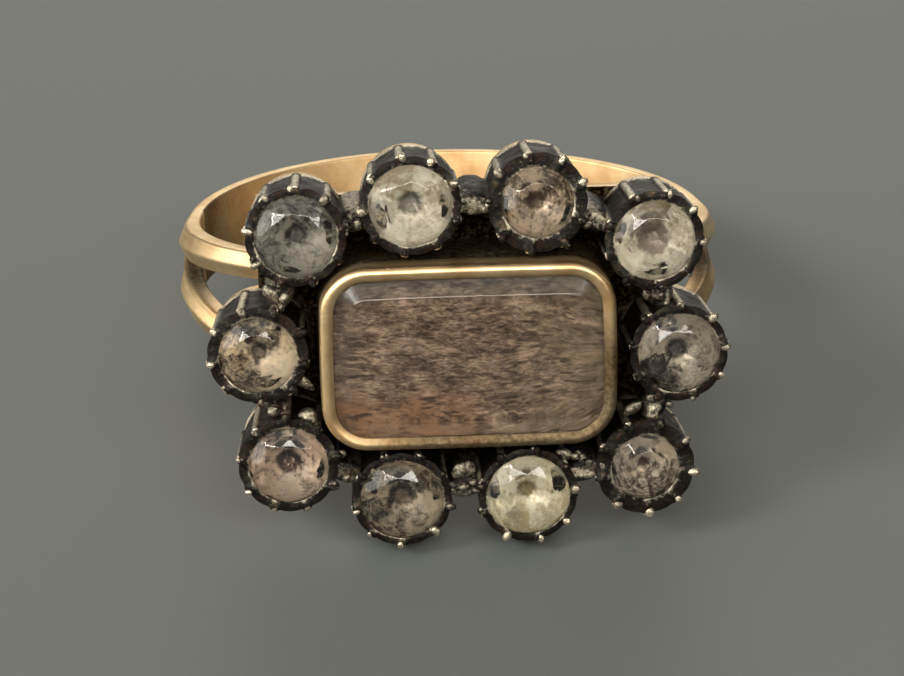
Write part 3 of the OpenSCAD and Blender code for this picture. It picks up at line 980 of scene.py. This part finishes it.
def stone(seat, highlight_at, seed):
    """A stone as distances from its middle: on each ray the nearest facet plane, blended by a high
    power, so that the edges are as softly rubbed as old ones, and cut off by the round girdle. The
    pavilion is puckered a little, like the foil that lies on it."""
    stone_r = seat[2] * STONE_D / 2
    normals, distances = facets(stone_r, seat[3] * 1.7)
    crown_rows = np.linspace(90, -1, 64)
    pavilion_rows = np.linspace(-4, -90, 40)
    up = np.radians(np.concatenate([crown_rows, pavilion_rows]))[:, None]
    turn = np.linspace(0, TAU, 176, endpoint=False)[None, :]
    way = np.stack([np.cos(up) * np.cos(turn), np.cos(up) * np.sin(turn), np.sin(up) + 0 * turn])
    power = 220
    pull = np.maximum(np.tensordot(normals, way, axes=1) / distances[:, None, None], 1e-6)
    girdle = np.broadcast_to(np.cos(up) / stone_r, pull.shape[1:])
    pull = np.concatenate([pull, girdle[None]])
    nearest = np.max(pull, axis=0)
    length = 1 / (nearest * np.sum((pull / nearest) ** power, axis=0) ** (1 / power))
    tones_and_highlight = np.random.default_rng(seed).uniform(-1, 1, len(pull))[np.argmax(pull, axis=0)]
    # Painted highlight: the foil is made brighter on the side that faces highlight_at
    tones_and_highlight = tones_and_highlight + 0.75 * np.cos(turn - np.radians(highlight_at)) * smooth(np.cos(up), 0.3, 0.9)
    pucker = waves(turn * 6 + up * 5, 1.7, seed) * waves(up * 9 - turn * 2, 1.8, seed + 1)
    length = length * (1 - 0.02 * (1 + pucker) * smooth(-np.degrees(up), 6, 20))
    x, y, z = length * way
    finish = (np.arange(len(up) - 1) >= len(crown_rows) - 1).astype(int)
    middle = GIRDLE_DROP - STONE_GAP
    return in_seat(seat, x, y, z - middle), np.hypot(x, y) / stone_r, tones_and_highlight, finish


for i, seat in enumerate(SEATS):
    shells = Shells()
    points, reach, tones_and_highlight, finish = stone(seat, FOILS[i][4], 200 + 2 * i)
    shells.add(points, finish=finish, reach=reach, facet=tones_and_highlight)
    foil = foil_material(f"aged_foil_{i + 1:02d}", *FOILS[i][:4])
    shells.make(f"paste_{i + 1:02d}", [PASTE, foil], "stone", f"stone_{i + 1:02d}", sharp=80)


# The locket


def rounded_loop(turn, w, h, r, bow=0.0):
    """Points of a rounded rectangle at even steps of its length, from 0 to a whole turn, its sides
    bowed outwards a little at their middles."""
    straight_w, straight_h = w - 2 * r, h - 2 * r
    arc = r * np.pi / 2
    corners = [(1, 1), (-1, 1), (-1, -1), (1, -1)]
    ways = [(-1, 0), (0, -1), (1, 0), (0, 1)]
    along = (turn / TAU) * (2 * (straight_w + straight_h) + 4 * arc)
    x, y = np.zeros_like(along), np.zeros_like(along)
    start = 0.0
    for k, ((sx, sy), way) in enumerate(zip(corners, ways)):
        centre = np.array([sx * straight_w / 2, sy * straight_h / 2])
        angle = np.clip((along - start) / max(arc, 1e-9), 0, 1) * np.pi / 2 + k * np.pi / 2
        in_arc = (along >= start) & (along <= start + arc)
        x = np.where(in_arc, centre[0] + r * np.cos(angle), x)
        y = np.where(in_arc, centre[1] + r * np.sin(angle), y)
        start += arc
        run = straight_w if k % 2 == 0 else straight_h
        normal = np.array([np.cos((k + 1) * np.pi / 2), np.sin((k + 1) * np.pi / 2)])
        move = np.clip(along - start, 0, run)
        in_run = (along > start) & (along < start + run)
        x = np.where(in_run, centre[0] + r * normal[0] + way[0] * move, x)
        y = np.where(in_run, centre[1] + r * normal[1] + way[1] * move, y)
        start += run
    grow_x = 1 + bow * np.cos(np.clip(y / (h / 2), -1, 1) * np.pi / 2)
    grow_y = 1 + bow * np.cos(np.clip(x / (w / 2), -1, 1) * np.pi / 2)
    return x * grow_x, y * grow_y


LOCKET_STEPS = 320
LOCKET_BOW = 0.016
locket_turn = np.linspace(0, TAU, LOCKET_STEPS, endpoint=False)


def locket_rows(profile):
    """Rows of points round the locket. Each row of the profile is an inset from the case's outside,
    a height, and a share by which the row shrinks towards the middle."""
    rows = []
    for inset, z, share in profile:
        w, h = LOCKET_W - 2 * inset, LOCKET_H - 2 * inset
        x, y = rounded_loop(locket_turn, w, h, max(LOCKET_CORNER_R - inset, 0.05), LOCKET_BOW)
        rows.append(in_head(x * share, y * share, z + 0 * x))
    return np.stack(rows)


LIP_R = 0.2
RIM_REACH = 0.42
RIM_FALL = 0.11
LIP_SEAT = 0.06
SHELF_TOP = HAIR_TOP - HAIR_T - CRYSTAL_GAP
SHELF_BOTTOM = SHELF_TOP - SHELF_T
quarter = np.radians(np.linspace(0, 90, 8))
slope = np.linspace(0, 1, 10)[1:]
case_profile = (
    [(CASE_WALL, SHELF_BOTTOM, 0.0), (CASE_WALL, SHELF_BOTTOM, 0.5), (CASE_WALL, SHELF_BOTTOM, 1.0)]
    + [(CASE_WALL, SEAM, 1.0), (0.04, SEAM, 1.0), (0.0, SEAM + 0.04, 1.0)]
    + [(0.0, z, 1.0) for z in np.linspace(0.4, CASE_TOP - LIP_R - 0.06, 8)]
    + [(LIP_R * (1 - np.cos(a)), CASE_TOP - LIP_R + LIP_R * np.sin(a), 1.0) for a in quarter]
    + [(LIP_R + (RIM_REACH - LIP_R) * t, CASE_TOP - RIM_FALL * t**1.5, 1.0) for t in slope]
    + [(RIM_REACH, CASE_TOP - LIP_H - LIP_SEAT, 1.0), (CASE_WALL, CASE_TOP - LIP_H - 0.03, 1.0)]
    + [(CASE_WALL, SHELF_TOP, 1.0), (CASE_WALL, SHELF_TOP, 0.5), (CASE_WALL, SHELF_TOP, 0.0)]
)
rim_z = np.array([z for _, z, _ in case_profile])[:, None]
rim_x, rim_y = rounded_loop(locket_turn, LOCKET_W, LOCKET_H, LOCKET_CORNER_R)
# Painted shade: the rim darkens towards the bottom and the right, and the case's side and inside, from 0.3
# mm below its top downwards, are darkened as well
shaded = smooth(0.75 * rim_x[None, :] - 1.6 * rim_y[None, :], -0.2, 3.9)
case_grime = 0.95 * smooth(CASE_TOP - rim_z, 0.3, 0.9) + 0.84 * shaded
case_grime = np.clip(case_grime, 0, 1)
case_points = locket_rows(case_profile)
# The rubbed-over rim was pushed down by hand, so its height wanders a little
wander = 0.02 * waves(locket_turn * 3, 1.0, 5, 4)[None, :] * smooth(rim_z, CASE_TOP - 0.5, CASE_TOP)
case_points = case_points - wander[..., None] * HOOP_Y
shells = Shells()
shells.add(case_points, grime=case_grime)
shells.make("locket_rim", [GOLD], "gold", "locket_case")


def crystal():
    """The crystal: an upright side, a flat bevel and a table with the slightest dome. Also how worn it
    is, which is the bevel alone."""
    edge = CASE_WALL + CRYSTAL_GAP
    side_top = CRYSTAL_TOP - BEVEL_H
    rows = [(edge, CRYSTAL_BOTTOM, 0.0), (edge, CRYSTAL_BOTTOM, 0.5), (edge + 0.03, CRYSTAL_BOTTOM, 1.0)]
    rows += [(edge, CRYSTAL_BOTTOM + 0.03, 1.0), (edge, side_top - 0.05, 1.0)]
    for t in np.linspace(0, 1, 16):
        rows.append((edge + BEVEL_W * t, side_top + (BEVEL_H - 0.05) * t, 1.0))
    for share in np.linspace(1, 0, 14)[1:]:
        rows.append((edge + BEVEL_W, CRYSTAL_TOP - 0.05 * share**2, share))
    worn = smooth(np.array([row[1] for row in rows])[:, None], side_top - 0.1, side_top + 0.02)
    table = np.array([row[0] >= edge + BEVEL_W * 0.93 for row in rows])[:, None]
    return locket_rows(rows), np.where(table, 0, worn)


shells = Shells()
points, worn = crystal()
shells.add(points, worn=worn)
shells.make("bevelled_crystal", [CRYSTAL], "crystal", "locket_crystal", sharp=30)

WHORL = (3.3, -1.4)


def hair_lay(x, y):
    """The lay of the hair: a coordinate along the strands and one across them. The strands run level
    with a slow wave, and bend round a small whorl."""
    dx, dy = (x - WHORL[0]) / 1.1, (y - WHORL[1]) / 0.7
    near = np.exp(-(dx**2 + dy**2))
    across = y + 0.07 * np.sin(x * 0.6 + 0.6) + 0.03 * np.sin(x * 1.7 + y * 1.2) + 0.4 * near * dx
    bend = smooth(x, 2.2, 4.4) * 0.22 * (x - 2.2)
    across = across + bend * np.tanh((y + 0.3) / 0.9)
    along = x + 0.1 * np.sin(y * 2.1) + 0.3 * near * dy
    return along, across


def hair():
    """The hair panel: a thin slab whose top follows the lay, with locks and single hairs as ridges
    from sines of the coordinate across the strands."""
    steps_x, steps_y = 250, 160
    w = POCKET_W - 2 * CRYSTAL_GAP
    h = POCKET_H - 2 * CRYSTAL_GAP
    r = POCKET_CORNER_R - CRYSTAL_GAP
    u = np.linspace(-1, 1, steps_x)[None, :]
    v = np.linspace(-1, 1, steps_y)[:, None]
    y = v * h / 2 + 0 * u
    # The rows' ends follow the rounded corners
    corner = np.maximum(np.abs(y) - (h / 2 - r), 0)
    reach = w / 2 - (r - np.sqrt(np.maximum(r**2 - corner**2, 0)))
    x = u * reach
    along, across = hair_lay(x, y)
    locks = waves(across * 9 + 1.1 * waves(along * 0.9, 1.9, 31), 1.7, 21, 4)
    calm = 0.5 + 0.5 * waves(along * 0.7 + across * 2.1, 1.8, 33)
    z = HAIR_TOP - 0.03 + 0.014 * locks * calm
    fox = smooth(-y, 1.0, 1.9) * smooth(-x, -1.0, 0.8) * (0.7 + 0.3 * waves(x * 3 + y * 2, 1.8, 23))
    fade = 0.55 * smooth(x, 0.8, 3.8) * (0.7 + 0.5 * waves(x * 1.7 + y * 2.4, 1.8, 24))
    fade = fade + 0.3 * smooth(y, 1.2, 2.6)
    return x, y, z, along, across, np.clip(fox, 0, 1), np.clip(fade, 0, 0.8)


def add_hair():
    """The slab's top grid, closed by a flat underside that the edge rows drop to."""
    x, y, z, along, across, fox, fade = hair()
    bottom = HAIR_TOP - HAIR_T
    rows, cols = x.shape
    top = in_head(x, y, z)
    low = in_head(x, y, bottom + 0 * x)
    # Each row runs over the top and back underneath; the first and last rows close on themselves
    grid = np.concatenate([top, low[:, ::-1]], axis=1)
    pad = [np.concatenate([value, value[:, ::-1]], axis=1) for value in (along, across, fox, fade)]
    first = np.concatenate([low[:1], low[:1, ::-1]], axis=1)
    last = np.concatenate([low[-1:], low[-1:, ::-1]], axis=1)
    grid = np.concatenate([first, grid, last])
    pad = [np.concatenate([value[:1], value, value[-1:]]) for value in pad]
    shells = Shells()
    shells.add(grid, along=pad[0], across=pad[1], fox=pad[2], fade=pad[3])
    piece = shells.make("laid_hair", [HAIR], "hair", "hair_panel", sharp=60)
    mesh = piece.data
    lay = np.zeros((len(mesh.vertices), 2), dtype=np.float32)
    for column, key in enumerate(("along", "across")):
        value = np.zeros(len(mesh.vertices), dtype=np.float32)
        mesh.attributes[key].data.foreach_get("value", value)
        lay[:, column] = value
    corner = np.zeros(len(mesh.loops), dtype=np.int32)
    mesh.loops.foreach_get("vertex_index", corner)
    mesh.uv_layers.new(name="lay").data.foreach_set("uv", lay[corner].ravel())


add_hair()


# Camera, floor and light

CAMERA_AZIMUTH = -3.5
CAMERA_ELEVATION = 33.3
CAMERA_DISTANCE = 140
# Picture lengths in pixels, of a picture 904 wide: the lens and the place of the head's middle
PICTURE_W = 904
LENS_PX = 4284
HEAD_RIGHT_PX = 16
HEAD_DOWN_PX = 14


def add_camera():
    """A long lens, aimed so that the head's middle lies a little right of and below the picture's."""
    azimuth, elevation = np.radians(CAMERA_AZIMUTH), np.radians(CAMERA_ELEVATION)
    level = np.cos(elevation)
    back = Vector((np.sin(azimuth) * level, -np.cos(azimuth) * level, np.sin(elevation)))
    turn = (-back).to_track_quat("-Z", "Y")
    head = Vector(in_head(np.array(0.0), np.array(0.0), np.array(FRONT_Z)) * MM)
    pixel = CAMERA_DISTANCE * MM / LENS_PX
    target = head + turn @ Vector((-HEAD_RIGHT_PX * pixel, HEAD_DOWN_PX * pixel, 0))
    data = bpy.data.cameras.new("camera")
    data.sensor_width = 36
    data.lens = LENS_PX / PICTURE_W * data.sensor_width
    data.clip_start, data.clip_end = 0.01, 10
    camera = bpy.data.objects.new("camera", data)
    camera.rotation_mode = "QUATERNION"
    camera.rotation_quaternion = turn
    camera.location = target + back * (CAMERA_DISTANCE * MM)
    bpy.context.scene.collection.objects.link(camera)
    bpy.context.scene.camera = camera


def add_floor():
    """A plain pale floor, which isn't part of the ring."""
    side = 1.5
    mesh = bpy.data.meshes.new("floor")
    corners = [(-side, -side, 0), (side, -side, 0), (side, side, 0), (-side, side, 0)]
    mesh.from_pydata(corners, [], [(0, 1, 2, 3)])
    material, _, shader = new_material("pale_floor")
    shader.inputs["Base Color"].default_value = linear("#535755")
    shader.inputs["Roughness"].default_value = 0.5
    mesh.materials.append(material)
    floor = bpy.data.objects.new("floor", mesh)
    bpy.context.scene.collection.objects.link(floor)


def add_light(name, place, aim, width, height, power):
    """A rectangular soft light, placed and aimed in metres."""
    data = bpy.data.lights.new(name, "AREA")
    data.shape, data.size, data.size_y, data.energy = "RECTANGLE", width, height, power
    data.color = linear("#fffaf2")[:3]
    light = bpy.data.objects.new(name, data)
    light.location = place
    light.rotation_mode = "QUATERNION"
    light.rotation_quaternion = (Vector(aim) - Vector(place)).to_track_quat("-Z", "Y")
    bpy.context.scene.collection.objects.link(light)


add_camera()
add_floor()
# A wide low window at the left lights the gold, a lamp high at the front left lights the head, and soft
# lights fill in from the front, from above and from behind
add_light("window", (-0.6, 0.08, 0.2), (0, 0, 0.006), 0.75, 0.4, 2.8)
add_light("lamp", (-0.42, -0.25, 0.42), (0, 0, 0.006), 0.2, 0.2, 3.1)
add_light("front", (0.0, -0.56, 0.5), (0, 0, 0.006), 1.0, 0.18, 6.6)
add_light("top", (0.0, -0.2, 0.75), (0, 0, 0.006), 1.0, 0.5, 1.4)
add_light("back", (0.1, 0.8, 0.25), (0, 0, 0.006), 0.8, 0.4, 2.1)

world = bpy.data.worlds.new("studio")
world.use_nodes = True
world.node_tree.nodes["Background"].inputs["Color"].default_value = linear("#cfcdc4")
world.node_tree.nodes["Background"].inputs["Strength"].default_value = 0.13
bpy.context.scene.world = world
bpy.context.scene.view_settings.view_transform = "Standard"
